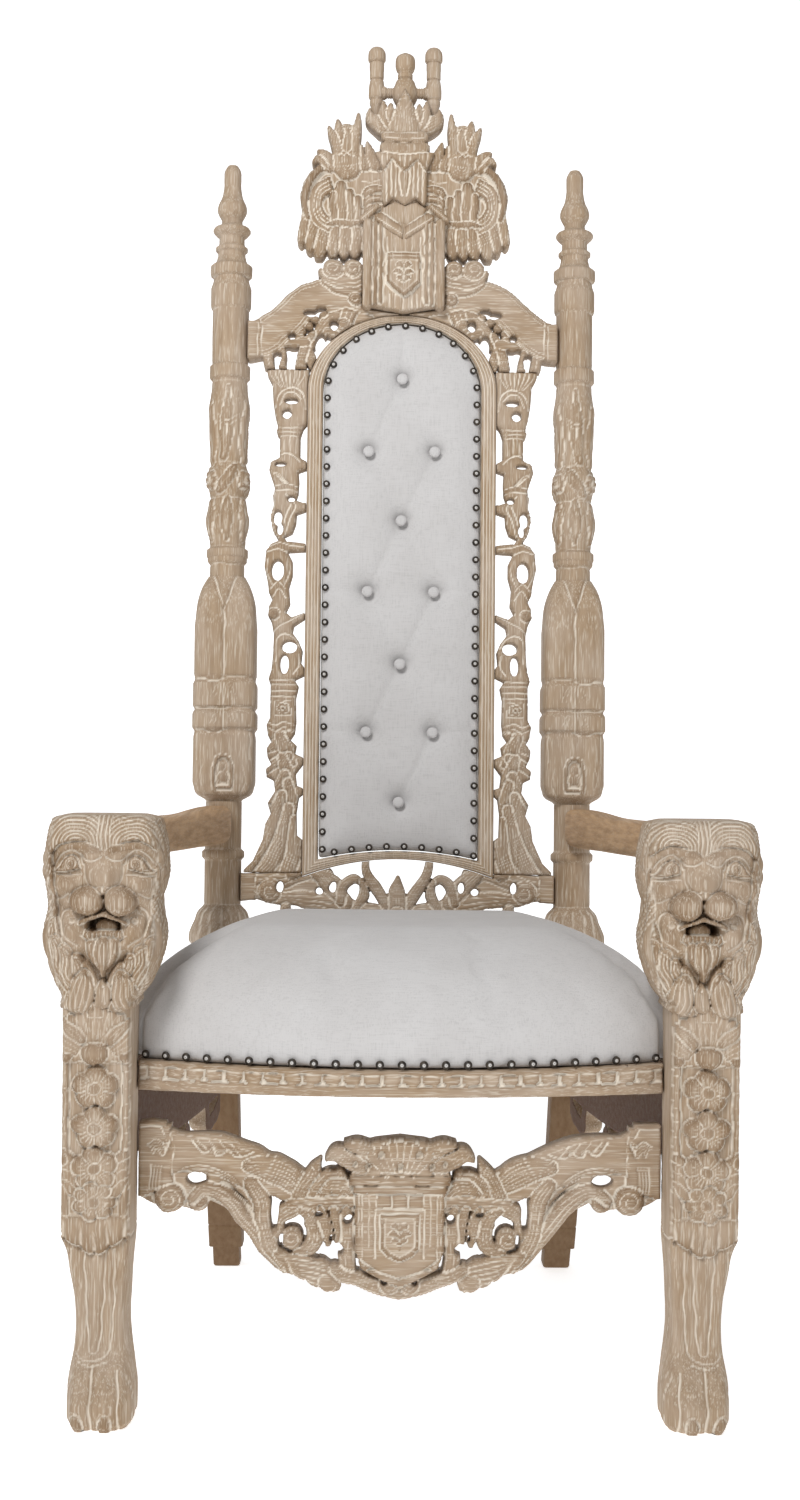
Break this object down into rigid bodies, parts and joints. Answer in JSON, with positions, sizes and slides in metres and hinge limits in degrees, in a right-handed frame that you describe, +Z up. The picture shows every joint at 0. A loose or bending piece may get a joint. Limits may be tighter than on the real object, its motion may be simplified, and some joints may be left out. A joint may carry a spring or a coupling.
{
  "type": "carved throne",
  "caption": "Tall carved throne with lion-headed front legs, turned rear posts, a buttoned arched back and a domed seat.",
  "frame": {"origin": "on the floor under the middle of the chair's box", "axes": "+Z up, -Y the way the sitter faces, +X to the viewer's right when seen from the front"},
  "size_m": [0.8438, 0.7572, 1.8329],
  "materials": {
    "limed_wood": "bleached hardwood with pale lime paste in the carving, dull",
    "brown_wood": "smooth straight-grained hardwood, satin",
    "linen": "off-white plain-weave linen",
    "bronze_nail": "dark antiqued bronze, half gloss"
  },
  "bodies": {
    "root": {"front_leg_left": "limed_wood", "front_leg_right": "limed_wood", "arm_left": "brown_wood", "arm_right": "brown_wood", "rear_post_left": "limed_wood", "rear_post_right": "limed_wood", "seat_rail_front": "limed_wood", "seat_rail_left": "limed_wood", "seat_rail_right": "limed_wood", "seat_rail_rear": "limed_wood", "front_apron": "limed_wood", "side_apron_left": "limed_wood", "side_apron_right": "limed_wood", "back_frame": "limed_wood", "fret_left": "limed_wood", "fret_right": "limed_wood", "lower_back_rail": "limed_wood", "crest_rail": "limed_wood", "crest": "limed_wood", "back_pad": "linen", "seat_cushion": "linen", "back_button_1": "linen", "back_button_2": "linen", "back_button_3": "linen", "back_button_4": "linen", "back_button_5": "linen", "back_button_6": "linen", "back_button_7": "linen", "back_button_8": "linen", "back_button_9": "linen", "back_button_10": "linen"}
  },
  "joints": []
}
